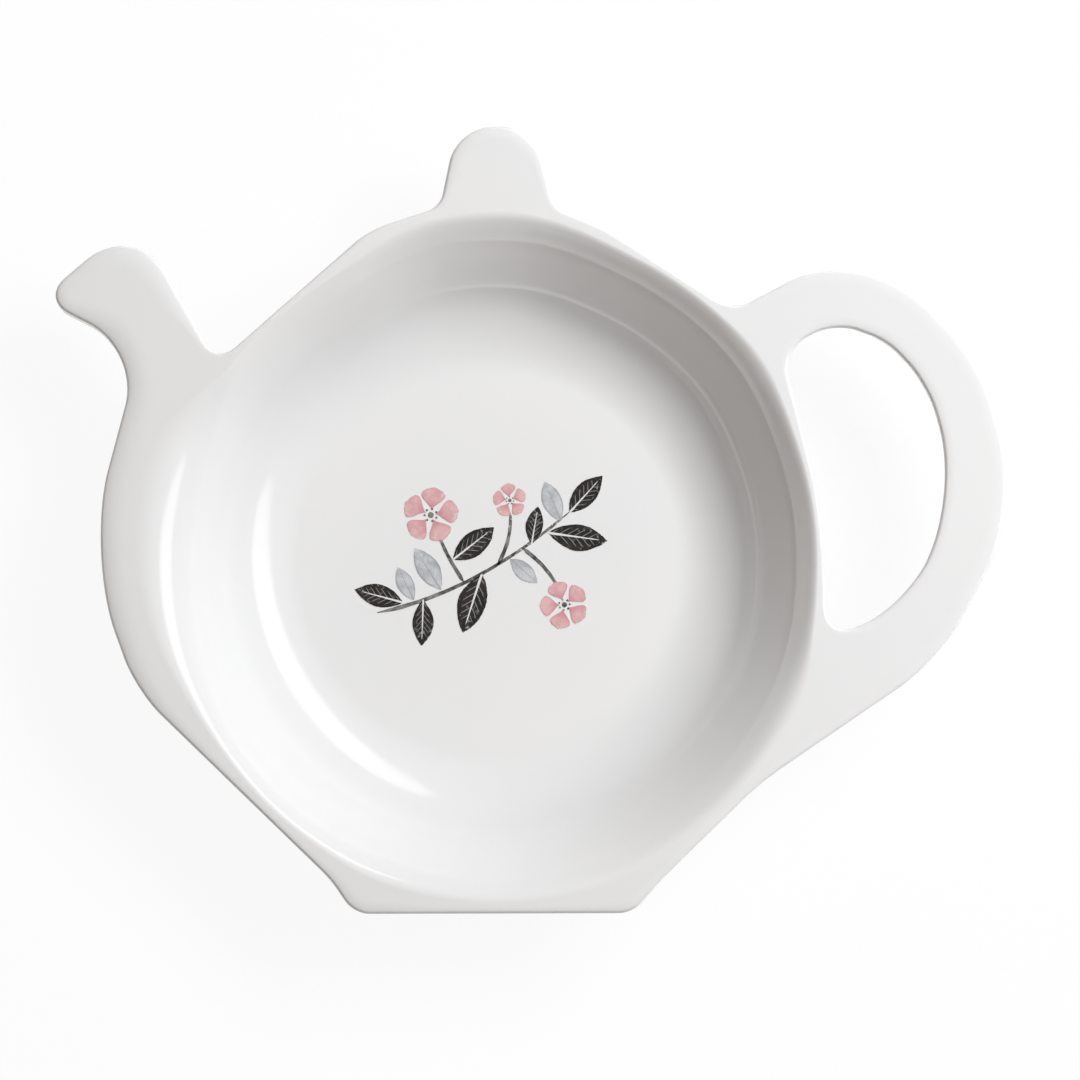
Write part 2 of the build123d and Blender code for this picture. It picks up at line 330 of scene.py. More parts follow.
def layFace(corners, step):
    # corner points, each rounded by a vertex bevel, then cut into short even runs
    bm = bmesh.new()
    marks = [Vector(c) for c in corners]
    starts = [bm.verts.new((c.x * mm, c.y * mm, 0)) for c in marks]
    bm.faces.new(starts)
    for i, vert in enumerate(starts):
        before, here, after = marks[i - 1], marks[i], marks[(i + 1) % len(marks)]
        turn = (here.xy - before.xy).angle(after.xy - here.xy)
        roundCorners(bm, [vert], here.z * bevelStart(turn), max(3, ceil(here.z * turn / step)))
    for edge in bm.edges[:]:
        divideEdge(bm, edge, edge.calc_length(), step)
    return newMesh("layFace", bm)


def takeRing(bm, mesh):
    # the edge of a flat face, counterclockwise, without the face
    bm.from_mesh(mesh)
    bm.faces.ensure_lookup_table()
    face = bm.faces[-1]
    face.normal_update()
    ring = [loop.vert for loop in face.loops]
    if face.normal.z < 0:
        ring.reverse()
    bmesh.ops.delete(bm, geom=[face], context="FACES_ONLY")
    return ring


def evened(values, spread):
    # lowest neighbour first, then a running mean, so a narrow place keeps its limit
    n = len(values)
    low = [min(values[(i + k) % n] for k in range(-spread, spread + 1)) for i in range(n)]
    return [sum(low[(i + k) % n] for k in range(-spread, spread + 1)) / (2 * spread + 1) for i in range(n)]


def inwardOf(points, side):
    n = len(points)
    found = []
    for i in range(n):
        run = (points[(i + 1) % n] - points[i - 1]).normalized()
        found.append(Vector((-run.y, run.x)) * side)
    return found


def bendLimit(points, share):
    # a rounding is no wider than a share of the corner it goes round
    n = len(points)
    limits = []
    for i in range(n):
        a, b = points[i] - points[i - 2], points[(i + 2) % n] - points[i]
        bend = -a.angle_signed(b) / (0.5 * (a.length + b.length))
        limits.append(share / bend if bend > 1e-6 else 1e3)
    return limits


def nearest(points, target):
    goal = Vector(target)
    return min(range(len(points)), key=lambda i: (points[i] - goal).length)


def inRun(station, first, last, count):
    return (station - first) % count < (last - first) % count


def growLoop(bm, edges, station, place):
    # pulls a closed loop of edges out into the next loop, each new point set by its station
    grown = bmesh.ops.extrude_edge_only(bm, edges=edges)["geom"]
    verts = {g for g in grown if isinstance(g, bmesh.types.BMVert)}
    for v in verts:
        v.co = place(v[station])
    newEdges = [g for g in grown if isinstance(g, bmesh.types.BMEdge) and all(v in verts for v in g.verts)]
    return newEdges, {v[station]: v for v in verts}, [g for g in grown if isinstance(g, bmesh.types.BMFace)]


def shapeEdge(bm, station, ring, side, widths, falls, unders, lean, pieceOf, owner):
    # soft top edge, short side that leans in below, and rounded under edge of one closed outline
    top, under, edgeDrop = china["top"], china["under"], china["edgeDrop"]
    points = [v.co.xy / mm for v in ring]
    inward = inwardOf(points, side)
    count = len(ring)
    rounds = [min(china["edgeRound"], china["roundShare"] * w) for w in widths]
    lows = [china["lowLeast"] + china["lowShare"] * w for w in unders]
    leans = [min(lean, china["leanShare"] * w) for w in unders]
    for i, v in enumerate(ring):
        v[station] = i
        v.co.z = (top - falls[i] - edgeDrop) * mm
    first = [bm.edges.get((ring[i - 1], ring[i])) for i in range(count)]

    def at(i, reach, z):
        p = points[i] + inward[i] * reach
        return Vector((p.x, p.y, z)) * mm

    def crowned(i, reach, drop=0):
        return at(i, reach, top - drop - falls[i] * max(0, 1 - reach / widths[i]) ** china["crownPower"])

    bands = []
    edges = first
    for k in range(1, china["edgeSteps"] + 1):
        a = pi / 2 * k / china["edgeSteps"]
        edges, topLoop, faces = growLoop(
            bm, edges, station, lambda i: crowned(i, rounds[i] * (1 - cos(a)), edgeDrop * (1 - sin(a))))
        bands += faces
    for k in range(1, china["edgeSteps"] + 2):
        share = min(k / china["edgeSteps"], china["crownPast"])
        edges, topLoop, faces = growLoop(
            bm, edges, station, lambda i: crowned(i, rounds[i] + (widths[i] - rounds[i]) * share))
        bands += faces
    edges, lowLoop, faces = growLoop(bm, first, station, lambda i: at(i, leans[i], under + lows[i]))
    bands += faces
    for k in range(1, china["underSteps"] + 1):
        a = pi / 2 * k / china["underSteps"]
        edges, lowLoop, faces = growLoop(
            bm, edges, station,
            lambda i: at(i, leans[i] + (unders[i] - leans[i]) * (1 - cos(a)), under + lows[i] * (1 - sin(a))))
        bands += faces
    edges, lowLoop, faces = growLoop(bm, edges, station, lambda i: at(i, unders[i] * china["underPast"], under))
    bands += faces
    for face in bands:
        marks = {v[station] for v in face.verts}
        start = next(m for m in marks if (m + 1) % count in marks)
        face[owner] = pieceOf(start)
    return topLoop, lowLoop


def turnedShell(corners, reshape=None):
    # rounds the marked corners of a profile and turns it; the last two corners only close the profile for that
    bm = bmesh.new()
    starts = [bm.verts.new((x * mm, 0, z * mm)) for x, z, reach, steps in corners]
    bm.faces.new(starts)
    for vert, (x, z, reach, steps) in zip(starts, corners):
        if steps:
            roundCorners(bm, [vert], reach, steps)
    bmesh.ops.delete(bm, geom=starts[-2:], context="VERTS")
    bmesh.ops.delete(bm, geom=bm.faces[:], context="FACES_ONLY")
    if reshape:
        for edge in bm.edges[:]:
            divideEdge(bm, edge, abs(edge.verts[0].co.z - edge.verts[1].co.z), china["wallStep"])
    spinRound(bm, china["turnSteps"])
    if reshape:
        for v in bm.verts:
            v.co = reshape(v.co)
    return newMesh("turnedShell", bm)


def openRing(bm, z):
    # free edge of a turned shell
    return [e for e in bm.edges if e.is_boundary and len(e.link_faces) == 1
            and all(abs(v.co.z - z * mm) < 1e-6 for v in e.verts)]


def fillFlat(bm, edges, up, owner, piece):
    # plain flat between closed loops of edges
    made = bmesh.ops.triangle_fill(bm, edges=edges, use_beauty=True, normal=(0, 0, up))["geom"]
    for face in made:
        if isinstance(face, bmesh.types.BMFace):
            face[owner] = piece


def runEdges(bm, loop, first, last):
    # edges of a loop from one station to another
    n = len(loop)
    count = (last - first) % n
    return [bm.edges.get((loop[(first + k) % n], loop[(first + k + 1) % n])) for k in range(count)]


def buildChina():
    bm = bmesh.new()
    station = bm.verts.layers.int.new("station")
    owner = bm.faces.layers.int.new("owner")
    whole = bm.verts.layers.float_vector.new("wholeNormal")
    top, under, rimRadius, rimReach = china["top"], china["under"], china["wellRadius"], china["rimReach"]
    outline = takeRing(bm, layFace(china["outline"], china["step"]))
    outer = [v.co.xy / mm for v in outline]
    opening = takeRing(bm, layFace(china["opening"], china["step"]))
    inner = [v.co.xy / mm for v in opening]

    # the rim is a little longer than wide, and gives way where the outline comes close
    rims = []
    for degree in range(360):
        across, along = cos(radians(degree)), sin(radians(degree))
        oval = 1 / hypot(across / china["rimWide"], along / china["rimLong"])
        oval += across * china["rimMiddle"][0] + along * china["rimMiddle"][1]
        close = [p.length for p in outer + inner if degreesApart(bearingOf(p), degree) < china["lipView"]]
        rims.append(min(oval, min(close) - china["lipLeast"]))
    rims = evened(rims, china["rimEven"])

    def around(values, p):
        bearing = bearingOf(p)
        i = int(bearing)
        return values[i % 360] * (1 - bearing + i) + values[(i + 1) % 360] * (bearing - i)

    def rimAt(p):
        return around(rims, p)

    # widths of the soft edge: wide where there is room beside the well, narrow at the shoulders
    rooms = [p.length - rimAt(p) for p in outer]
    openRooms = [p.length - rimAt(p) for p in inner]
    limits = bendLimit(outer, china["bendShare"])
    spare = rimRadius - china["bowlRadius"] - china["rootReach"]
    edgeShare, underReach, underShare = china["edgeShare"], china["underReach"], china["underShare"]
    edgeEven, edgeReach = china["edgeEven"], china["edgeReach"]
    soft = [clamped((china["softFrom"] - p.x) / china["softRun"]) for p in outer]  # spout and left flank
    reaches = [edgeReach + (china["softReach"] - edgeReach) * k for k in soft]
    outerTop = evened([min(w, edgeShare * r, b) for w, r, b in zip(reaches, rooms, limits)], edgeEven)
    innerTop = evened([min(china["openingReach"], edgeShare * r) for r in openRooms], edgeEven)
    outerLow = evened([min(underReach, underShare * (r + spare), b) for r, b in zip(rooms, limits)], edgeEven)
    innerLow = evened([min(underReach, underShare * (r + spare)) for r in openRooms], edgeEven)

    # the edge falls away less round the handle
    edgeFall, handleFall = china["edgeFall"], china["handleFall"]
    firm = [clamped((p.x - china["firmFrom"]) / china["firmRun"]) for p in outer]
    outerFall = [w * (edgeFall + (handleFall - edgeFall) * k) for w, k in zip(outerTop, firm)]
    innerFall = [w * edgeFall for w in innerTop]

    # stations where the luted pieces begin and end
    n, m = len(outer), len(inner)
    notch, throat = (nearest(outer, p) for p in china["spoutSeam"])
    knobRight, knobLeft = (nearest(outer, p) for p in china["knobSeam"])
    fork, valley = (nearest(outer, p) for p in china["handleSeam"])
    openHigh, openLow = (nearest(inner, p) for p in china["openingSeam"])

    def outerPiece(i):
        return (1 if inRun(i, notch, throat, n) else 2 if inRun(i, knobRight, knobLeft, n)
                else 3 if inRun(i, fork, valley, n) else 0)

    def innerPiece(i):
        return 0 if inRun(i, openHigh, openLow, m) else 3

    outLoops = shapeEdge(bm, station, outline, 1, outerTop, outerFall, outerLow, 0, outerPiece, owner)
    holeLoops = shapeEdge(bm, station, opening, -1, innerTop, innerFall, innerLow, china["openingLean"],
                          innerPiece, owner)
    print("soft edges shaped:", n, "and", m, "stations")

    # the rim's rounding is long on the side of the spout, short on a narrow lip, and stays inside the seams
    lipRooms = [(bearingOf(p), room) for p, room in zip(outer + inner, rooms + openRooms)]
    tops, holeTops = outLoops[0], holeLoops[0]
    for start, stop in ((tops[notch], tops[throat]), (tops[knobRight], tops[knobLeft]),
                        (tops[valley], holeTops[openHigh]), (tops[fork], holeTops[openLow])):
        for k in range(china["seamSteps"] + 1):
            p = start.co.xy.lerp(stop.co.xy, k / china["seamSteps"]) / mm
            lipRooms.append((bearingOf(p), china["seamShare"] * (p.length - rimAt(p)) / china["rimShare"]))
    wallShares, lipShares = [], []
    for degree in range(360):
        close = [room for bearing, room in lipRooms if degreesApart(bearing, degree) < china["rimView"]]
        share = clamped(china["softMiddle"] + china["softSwing"] * cos(radians(degree - china["spoutBearing"])))
        wallShares.append(china["rimFirm"] + (1 - china["rimFirm"]) * share * share * (3 - 2 * share))
        lipShares.append(min(wallShares[-1], china["rimShare"] * min(close) / rimReach))
    lipShares = evened(lipShares, china["lipEven"])

    slope = radians(china["wallSlope"])
    arcStart = bevelStart(slope)
    floorRadius = rimRadius - (top - china["floor"]) / tan(slope)
    flatRadius = floorRadius - china["cove"] * arcStart
    rimStart = (top - rimReach * sin(slope) - china["rimLeeway"]) * mm
    lip = rimRadius + china["lipPast"] * rimReach
    root = china["bowlRadius"] + china["rootPast"] * china["rootReach"]

    def fitWell(co):
        goal, height = co.xy.length / mm, co.z / mm
        if goal < flatRadius:
            return co
        if co.z > rimStart:
            # down the wall and out on the lip, from the corner between them
            down = max(0, top - height) / sin(slope) / rimReach
            out = max(0, (goal - rimRadius) / rimReach + down * cos(slope))
            down = rimReach * around(wallShares, co) * down ** china["ease"]
            goal = rimRadius - down * cos(slope) + rimReach * around(lipShares, co) * out ** china["ease"]
            height = top - down * sin(slope)
        facing = max(0, cos(atan2(co.y, co.x) - radians(china["turnBearing"])))
        for crest, lift, climb, fall in china["turnMarks"]:
            height += facing * lift * max(0, 1 - max((crest - goal) / climb, (goal - crest) / fall)) ** 2
        goal += (rimAt(co) - rimRadius) * min(1, (goal - flatRadius) / (rimRadius - flatRadius))
        flat = co.xy.normalized() * goal
        return Vector((flat.x, flat.y, height)) * mm

    # well and bowl, turned on the same axis; x, z, rounding and its steps for each corner
    bm.from_mesh(turnedShell([
        (0, china["floor"], 0, 0), (floorRadius, china["floor"], china["cove"] * arcStart, china["coveSteps"]),
        (rimRadius, top, rimReach, china["rimSteps"]), (lip, top, 0, 0),
        (lip, top + china["closing"], 0, 0), (0, top + china["closing"], 0, 0)], fitWell))
    bm.from_mesh(turnedShell([
        (0, china["base"], 0, 0),
        (china["baseRadius"], china["base"], china["baseRound"] * arcStart, china["baseSteps"]),
        (china["bowlRadius"], under, china["rootReach"], china["rootSteps"]), (root, under, 0, 0),
        (root, under + china["closing"], 0, 0), (0, under + china["closing"], 0, 0)]))

    # flats of the lip, over and under, each luted piece filled by itself
    for loop, hole, z, up in ((outLoops[0], holeLoops[0], top, 1), (outLoops[1], holeLoops[1], under, -1)):
        rim = set(runEdges(bm, loop, 0, n - 1))
        circle = [e for e in openRing(bm, z) if e.verts[0][station] == 0 and e.verts[1][station] == 0
                  and e.verts[0].co.xy.length < (lip + china["lipLeeway"]) * mm and e not in rim]
        spoutSeam = bm.edges.new((loop[notch], loop[throat]))
        knobSeam = bm.edges.new((loop[knobRight], loop[knobLeft]))
        highSeam = bm.edges.new((loop[valley], hole[openHigh]))
        lowSeam = bm.edges.new((loop[fork], hole[openLow]))
        fillFlat(bm, runEdges(bm, loop, notch, throat) + [spoutSeam], up, owner, 1)
        fillFlat(bm, runEdges(bm, loop, knobRight, knobLeft) + [knobSeam], up, owner, 2)
        fillFlat(bm, runEdges(bm, loop, fork, valley) + runEdges(bm, hole, openLow, openHigh) + [highSeam, lowSeam],
                 up, owner, 3)
        fillFlat(bm, runEdges(bm, loop, valley, knobRight) + [knobSeam]
                 + runEdges(bm, loop, knobLeft, notch) + [spoutSeam]
                 + runEdges(bm, loop, throat, fork) + [lowSeam]
                 + runEdges(bm, hole, openHigh, openLow) + [highSeam] + circle, up, owner, 0)
    bmesh.ops.recalc_face_normals(bm, faces=bm.faces[:])
    bm.normal_update()
    for v in bm.verts:
        v[whole] = v.normal
    loose = sum(1 for e in bm.edges if not e.is_manifold)
    print("china closed:", len(bm.faces), "faces,", loose, "open edges")
    return bm


def cutPiece(body, index, name):
    # one luted piece with its joints closed, shaded as part of the whole body
    bm = body.copy()
    owner = bm.faces.layers.int["owner"]
    bmesh.ops.delete(bm, geom=[f for f in bm.faces if f[owner] != index], context="FACES")
    for face in bm.faces:
        face.smooth = True
    joints = bmesh.ops.holes_fill(bm, edges=[e for e in bm.edges if e.is_boundary], sides=0)["faces"]
    joints = bmesh.ops.triangulate(bm, faces=joints)["faces"]
    for face in joints:
        face.smooth = False
    bmesh.ops.recalc_face_normals(bm, faces=bm.faces[:])
    piece = newPiece(name, bm, glaze, pieceNames[index])
    mesh = piece.data
    whole = mesh.attributes["wholeNormal"].data
    normals = [None] * len(mesh.loops)
    for face in mesh.polygons:
        for i in face.loop_indices:
            normals[i] = whole[mesh.loops[i].vertex_index].vector[:] if face.use_smooth else face.normal[:]
    mesh.normals_split_custom_set(normals)
    for layer in ("wholeNormal", "station", "owner"):
        mesh.attributes.remove(mesh.attributes[layer])
    print("piece", name, len(mesh.polygons), "faces,", len(joints), "in its joints")


body = buildChina()
for index, name in enumerate(("chinaDish", "chinaSpout", "chinaKnob", "chinaHandle")):
    cutPiece(body, index, name)
body.free()


# foot ring, ground flat underneath
footRing = {"outer": 29.0, "width": 4.0, "height": 1.6, "round": 0.5, "roundSteps": 5, "steps": 180, "sharp": 40.0}


def buildFootRing():
    bm = bmesh.new()
    outer, inner = footRing["outer"] * mm, (footRing["outer"] - footRing["width"]) * mm
    high = footRing["height"] * mm
    starts = [bm.verts.new(co) for co in ((inner, 0, 0), (outer, 0, 0), (outer, 0, high), (inner, 0, high))]
    bm.faces.new(starts)
    roundCorners(bm, starts[:2], footRing["round"], footRing["roundSteps"])
    bmesh.ops.delete(bm, geom=bm.faces[:], context="FACES_ONLY")
    spinRound(bm, footRing["steps"])
    for edge in bm.edges:
        edge.smooth = edge.calc_face_angle(0) < radians(footRing["sharp"])
    for face in bm.faces:
        face.smooth = True
    newPiece("footRing", bm, biscuit, "foot_ring")


buildFootRing()
print("foot ring turned")

# sprig print on the floor of the well: thin films of ink, each dab laid by one stroke of a brush
sprig = {
    "under": 4.79, "stemTop": 4.835, "paleTop": 4.845, "leafTop": 4.855, "petalTop": 4.865,
    "leafLength": 8.0, "leafWidth": 3.6, "leafBends": (-0.1, 0.12), "edgeSteps": 96,
    "petals": 5, "petalNear": 0.4836, "petalLength": 2.7, "petalWidth": 2.62,
    "dotRadius": 0.34, "seedRadius": 0.13, "seedReach": 0.56, "seedTurn": 17, "seeds": 7,
    "stemWidth": 0.55, "stemSteps": 64, "stemTaper": 0.38, "stemWaver": 0.22, "stemEnd": 0.25, "stemOpens": 9,
    # uneven edge of a stroke: share of its size and scale of the noise, coarse and fine
    "fray": 0.055, "fraySize": 0.55, "frayFine": 0.03, "frayFineSize": 2.6,
    # x, y, heading, size
    "leaves": [(-11.2, -5.3, 165, 0.8), (-8.6, -4.9, 268, 0.75), (-1.0, -1.6, 252, 1.0), (5.4, 2.2, 80, 0.62),
               (7.6, 3.7, -8, 0.95), (10.3, 6.3, 48, 0.8), (-4.8, 0.2, 38, 0.85)],
    "paleLeaves": [(-6.3, -3.7, 122, 0.8), (-9.8, -5.0, 116, 0.6), (2.6, 0.4, 318, 0.6), (9.2, 5.2, 112, 0.7)],
    # x, y, turn, size
    "blossoms": [(-7.6, 6.0, 10, 1.15), (9.6, -5.6, 40, 1.0), (2.6, 7.9, 25, 0.7)],
    # start, middle and end of each stem
    "stems": [((-14.5, -6.6), (-2.0, -2.1), (10.4, 6.5)), ((-3.4, -2.6), (-5.4, 0.8), (-7.0, 4.4)),
              ((4.2, 1.72), (7.3, -1.1), (9.0, -4.0)), ((1.0, -0.5), (2.4, 3.0), (2.6, 6.4))],
}


def newSheet():
    bm = bmesh.new()
    return bm, bm.loops.layers.uv.new("stroke")


def frayAt(spot):
    # uneven edge of a brush stroke, the same on every run
    coarse, fine = noise.noise(spot * sprig["fraySize"]), noise.noise(spot * sprig["frayFineSize"])
    return sprig["fray"] * coarse + sprig["frayFine"] * fine


def layDab(bm, uv, seat, length, width, swell, bend=0.0):
    # a circle drawn out into a leaf, petal or dot, with u along the stroke and v across it
    verts = bmesh.ops.create_circle(bm, cap_ends=True, segments=sprig["edgeSteps"], radius=1.0)["verts"]
    middle = seat @ Vector((0.5 * length, 0, 0))
    marks = {}
    for v in verts:
        along = 0.5 + 0.5 * v.co.x
        across = swell(along) * (1 if v.co.y > 0 else -1)
        spot = seat @ Vector((length * along, 0.5 * width * across + bend * width * along * (1 - along), 0))
        spot += (spot - middle) * frayAt(spot)
        marks[v] = (along, 0.5 + 0.5 * across)
        v.co = Vector((spot.x, spot.y, sprig["under"])) * mm
    for loop in verts[0].link_faces[0].loops:
        loop[uv].uv = marks[loop.vert]


def layStem(bm, uv, start, middle, stop):
    # a grid bent along a curve through three points, thinner towards its end
    a, m, b = Vector(start), Vector(middle), Vector(stop)
    pull = 2 * m - 0.5 * (a + b)
    verts = bmesh.ops.create_grid(bm, x_segments=sprig["stemSteps"], y_segments=2, size=1.0)["verts"]
    faces = {f for v in verts for f in v.link_faces}
    marks = {}
    for v in verts:
        t, side = 0.5 + 0.5 * v.co.x, v.co.y
        mid = a * (1 - t) ** 2 + pull * 2 * t * (1 - t) + b * t * t
        run = ((pull - a) * (1 - t) + (b - pull) * t).normalized()
        waver = 1 + sprig["stemWaver"] * noise.noise(Vector((mid.x, mid.y, 3.0 * side)))
        half = 0.5 * sprig["stemWidth"] * (1.0 - sprig["stemTaper"] * t) * waver
        half *= min(1.0, sprig["stemEnd"] + sprig["stemOpens"] * min(t, 1 - t))
        spot = mid + Vector((-run.y, run.x)) * side * half
        marks[v] = (t, 0.5 + 0.5 * side)
        v.co = Vector((spot.x, spot.y, sprig["under"])) * mm
    for face in faces:
        for loop in face.loops:
            loop[uv].uv = marks[loop.vert]


def seatAt(x, y, heading, reach=0.0):
    turn = Matrix.Rotation(radians(heading), 4, "Z")
    return Matrix.Translation((x, y, 0)) @ turn @ Matrix.Translation((reach, 0, 0))


def thicken(bm, top):
    # gives the flat strokes the body of fired ink
    raised = bmesh.ops.extrude_face_region(bm, geom=bm.faces[:], use_keep_orig=True)["geom"]
    verts = [g for g in raised if isinstance(g, bmesh.types.BMVert)]
    bmesh.ops.translate(bm, verts=verts, vec=(0, 0, (top - sprig["under"]) * mm))
    bmesh.ops.recalc_face_normals(bm, faces=bm.faces[:])
    return bm


# half width of a stroke along its length, 1 at its widest
def leafSwell(u):
    return 4 * u * (1 - u)


def petalSwell(u):
    return 6.75 * u * u * (1 - u)


def roundSwell(u):
    return 2 * (max(0.0, u * (1 - u))) ** 0.5


def printLeaves(name, places, mat, node, top):
    bm, uv = newSheet()
    for i, (x, y, heading, size) in enumerate(places):
        layDab(bm, uv, seatAt(x, y, heading), sprig["leafLength"] * size, sprig["leafWidth"] * size, leafSwell,
               sprig["leafBends"][i % 2])
    newPiece(name, thicken(bm, top), mat, node)


def printBlossoms(mat):
    bm, uv = newSheet()
    for x, y, turn, size in sprig["blossoms"]:
        for k in range(sprig["petals"]):
            seat = seatAt(x, y, turn + 360 * k / sprig["petals"], sprig["petalNear"] * size)
            layDab(bm, uv, seat, sprig["petalLength"] * size, sprig["petalWidth"] * size, petalSwell)
    newPiece("inkBlossoms", thicken(bm, sprig["petalTop"]), mat, "print_blossoms")


def printStems(mat):
    bm, uv = newSheet()
    for start, middle, stop in sprig["stems"]:
        layStem(bm, uv, start, middle, stop)
    for x, y, turn, size in sprig["blossoms"]:
        wide, seed = 2 * sprig["dotRadius"] * size, 2 * sprig["seedRadius"] * size
        layDab(bm, uv, seatAt(x, y, turn, -0.5 * wide), wide, wide, roundSwell)
        for k in range(sprig["seeds"]):
            heading = turn + sprig["seedTurn"] + 360 * k / sprig["seeds"]
            layDab(bm, uv, seatAt(x, y, heading, sprig["seedReach"] * size), seed, seed, roundSwell)
    newPiece("inkStems", thicken(bm, sprig["stemTop"]), mat, "print_stems")


# ink wash: where the brush left much or little colour, and where colour gathered at the edge of a stroke
washLook = {"blotEdge": (0.36, 0.68), "grainSize": 5200.0, "shake": 0.35, "gatherEdge": (0.72, 1.0),
            "thinnest": 0.05, "streakSize": 1900.0, "streakEdge": (0.56, 0.66), "dryEnd": (0.35, 1.0, 0.15, 1.0)}


def makeInkWash():
    tree, gin, gout = nodeGroup(
        "inkWash", {"Along": 0.5, "Rim": 0.5, "Blot Size": 420.0, "Dryness": 0.5}, ("Wash", "Gather", "Skip"))
    place = objectPlace(tree)
    blot = addNoise(tree, place, gin["Blot Size"], detail=4.0, rough=0.6)
    tree.links.new(addRange(tree, blot, *washLook["blotEdge"]), gout["Wash"])
    grain = addMath(tree, "SUBTRACT", addNoise(tree, place, washLook["grainSize"], detail=3.0, rough=0.6), 0.5)
    shaky = addMath(tree, "ADD", gin["Rim"], multiply(tree, grain, washLook["shake"]))
    tree.links.new(addRange(tree, shaky, *washLook["gatherEdge"]), gout["Gather"])
    streak = addNoise(tree, place, washLook["streakSize"], detail=3.0, rough=0.62)
    dry = multiply(tree, addRange(tree, streak, *washLook["streakEdge"]),
                   addRange(tree, gin["Along"], *washLook["dryEnd"]))
    tree.links.new(multiply(tree, dry, gin["Dryness"]), gout["Skip"])
    return tree


# leaf veins: a midrib that thins towards the tip and short veins that slope away from it
veinLook = {"shakeSize": 3000.0, "shake": 0.05, "ribWidth": (0.0, 0.9, 0.085, 0.03), "ribEnd": (0.8, 0.88, 1.0, 0.0),
            "veins": 8.0, "slope": 2.1, "veinEdge": (0.05, 0.09, 1.0, 0.0), "veinReach": (0.55, 0.78, 1.0, 0.0),
            "veinEnd": (0.72, 0.86, 1.0, 0.0)}


def makeLeafVeins():
    tree, gin, gout = nodeGroup("leafVeins", {"Along": 0.5, "Off Middle": 0.5, "Rim": 0.5}, ("Midrib", "Side Veins"))
    along, off = gin["Along"], gin["Off Middle"]
    grain = addMath(tree, "SUBTRACT", addNoise(tree, objectPlace(tree), veinLook["shakeSize"], detail=3.0), 0.5)
    shake = multiply(tree, grain, veinLook["shake"])
    width = addMath(tree, "ADD", addRange(tree, along, *veinLook["ribWidth"]), shake)
    rib = addMath(tree, "LESS_THAN", off, width)
    tree.links.new(multiply(tree, rib, addRange(tree, along, *veinLook["ribEnd"])), gout["Midrib"])
    step = addMath(tree, "SUBTRACT", multiply(tree, along, veinLook["veins"]), multiply(tree, off, veinLook["slope"]))
    phase = addMath(tree, "FRACT", addMath(tree, "ADD", step, shake))
    line = addMath(tree, "ABSOLUTE", addMath(tree, "SUBTRACT", phase, 0.5))
    veins = multiply(tree, addRange(tree, line, *veinLook["veinEdge"]),
                     addRange(tree, gin["Rim"], *veinLook["veinReach"]))
    tree.links.new(multiply(tree, veins, addRange(tree, along, *veinLook["veinEnd"])), gout["Side Veins"])
    return tree


inkWash = makeInkWash()
leafVeins = makeLeafVeins()
bareChina = glazeLook["body"]


# the same swells as nodes
def leafShape(tree, u):
    return multiply(tree, multiply(tree, u, 4.0), addMath(tree, "SUBTRACT", 1.0, u))


def petalShape(tree, u):
    return multiply(tree, multiply(tree, addMath(tree, "POWER", u, 2.0), 6.75), addMath(tree, "SUBTRACT", 1.0, u))


def strokePlace(tree, shape):
    # place in a stroke: along it, off its middle line, and 1 at its edge
    along, across = splitPlace(tree, addNode(tree, "ShaderNodeUVMap", uv_map="stroke").outputs["UV"])[:2]
    off = addMath(tree, "ABSOLUTE", addMath(tree, "MULTIPLY_ADD", across, 2.0, -1.0))
    if shape is None:
        return along, off, off
    half = addMath(tree, "MAXIMUM", shape(tree, along), washLook["thinnest"])
    return along, off, addMath(tree, "DIVIDE", off, half)


def startInk(name, look, shape=None):
    mat, tree = newFinish(name)[:2]
    along, off, rim = strokePlace(tree, shape)
    wash = addNode(tree, "ShaderNodeGroup", node_tree=inkWash)
    for label, value in (("Along", along), ("Rim", rim), ("Blot Size", look["blot"]), ("Dryness", look["dry"])):
        feed(tree, wash.inputs[label], value)
    return mat, tree, (along, off, rim), wash.outputs


def finishInk(mat, bare, ink):
    # bare china where the brush left none, and the glaze over it
    tree, shader = mat.node_tree, mat.node_tree.nodes["Principled BSDF"]
    tree.links.new(addMix(tree, bare, ink, bareChina), shader.inputs["Base Color"])
    layGlaze(tree, shader)
    return mat


def placeVeins(tree, stroke):
    veins = addNode(tree, "ShaderNodeGroup", node_tree=leafVeins)
    for label, value in zip(("Along", "Off Middle", "Rim"), stroke):
        feed(tree, veins.inputs[label], value)
    return veins.outputs


blackLook = {"ink": (0.010, 0.0095, 0.0095), "thin": (0.036, 0.028, 0.024), "blot": 420.0, "dry": 0.5,
             "thinShare": 0.55, "midrib": 0.92, "veins": 0.3, "skip": 0.8}


def makeBlackInk():
    mat, tree, stroke, wash = startInk("blackInk", blackLook, leafShape)
    veins = placeVeins(tree, stroke)
    ink = addMix(tree, multiply(tree, wash["Wash"], blackLook["thinShare"]), blackLook["ink"], blackLook["thin"])
    lines = addMath(tree, "MAXIMUM", multiply(tree, veins["Midrib"], blackLook["midrib"]),
                    multiply(tree, veins["Side Veins"], blackLook["veins"]))
    bare = addMath(tree, "MAXIMUM", lines, multiply(tree, wash["Skip"], blackLook["skip"]))
    return finishInk(mat, bare, ink)


paleLook = {"wash": (0.60, 0.61, 0.62), "deep": (0.40, 0.415, 0.435), "edge": (0.31, 0.325, 0.345),
            "blot": 520.0, "dry": 0.4, "gather": 0.75, "veins": 0.55, "lines": 0.7}


